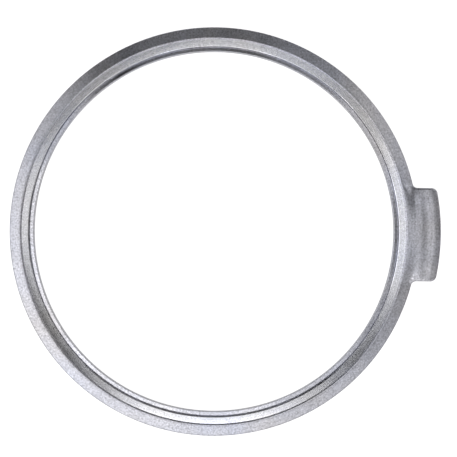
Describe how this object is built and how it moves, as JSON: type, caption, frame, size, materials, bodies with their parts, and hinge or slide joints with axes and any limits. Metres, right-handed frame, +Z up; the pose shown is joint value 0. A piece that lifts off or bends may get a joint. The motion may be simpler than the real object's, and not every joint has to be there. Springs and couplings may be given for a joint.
{
  "type": "pressure cooker rim ring",
  "caption": "Flat metal ring with a sloped outer band, a bright turned seat set in its top, a low inner lip, and one rounded rectangular ear on the outside.",
  "frame": {"origin": "on the ring's axis in its base plane, at the mouth of the rim socket", "axes": "+Z up along the ring's axis, from the base to the crest; +X from the axis towards the middle of the ear"},
  "size_m": [0.253, 0.24, 0.012],
  "materials": {
    "cast_metal": "matte as-cast skin, lightly machined",
    "turned_metal": "fine turned, bright"
  },
  "bodies": {
    "root": {"collar": "cast_metal", "seat_ring": "turned_metal"}
  },
  "joints": []
}
